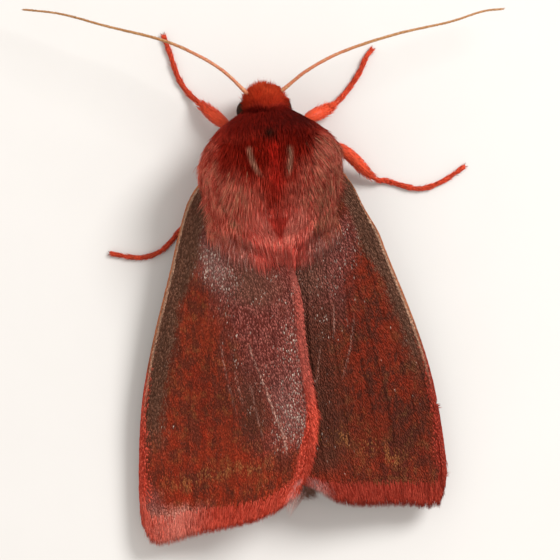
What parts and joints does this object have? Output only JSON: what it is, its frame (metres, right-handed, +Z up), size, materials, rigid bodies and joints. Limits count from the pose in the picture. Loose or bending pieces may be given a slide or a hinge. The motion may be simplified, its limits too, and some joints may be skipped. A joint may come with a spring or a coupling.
{
  "type": "moth",
  "caption": "Life-size resting moth with a furry thorax, folded wings in a low roof, long feelers and spread legs, standing on small flats under its feet.",
  "frame": {"origin": "middle of the bounding box's underside, on the surface that the feet stand on", "axes": "+Y along the body towards the head, +Z up from the floor, +X to the moth's right"},
  "size_m": [0.0242, 0.0274, 0.0058],
  "materials": {
    "fur": "deep red hair",
    "wing": "matt red-brown scales",
    "hindwing": "matt pink scales",
    "leg": "orange-red scales and hair over shell",
    "feeler": "satin ochre shell",
    "eye": "glossy dark",
    "abdomen": "pink hair"
  },
  "bodies": {
    "root": {"abdomen": "abdomen", "antenna_left": "feeler", "antenna_right": "feeler", "eye_left": "eye", "eye_right": "eye", "foreleg_left_femur": "leg", "foreleg_left_tarsus": "leg", "foreleg_left_tibia": "leg", "foreleg_right_femur": "leg", "foreleg_right_tarsus": "leg", "foreleg_right_tibia": "leg", "forewing_left": "wing", "forewing_right": "wing", "head": "fur", "hindleg_left_femur": "leg", "hindleg_left_tarsus": "leg", "hindleg_left_tibia": "leg", "hindleg_right_femur": "leg", "hindleg_right_tarsus": "leg", "hindleg_right_tibia": "leg", "hindwing_left": "hindwing", "hindwing_right": "hindwing", "midleg_left_femur": "leg", "midleg_left_tarsus": "leg", "midleg_left_tibia": "leg", "midleg_right_femur": "leg", "midleg_right_tarsus": "leg", "midleg_right_tibia": "leg", "palp_left": "fur", "palp_right": "fur", "thorax": "fur"}
  },
  "joints": []
}
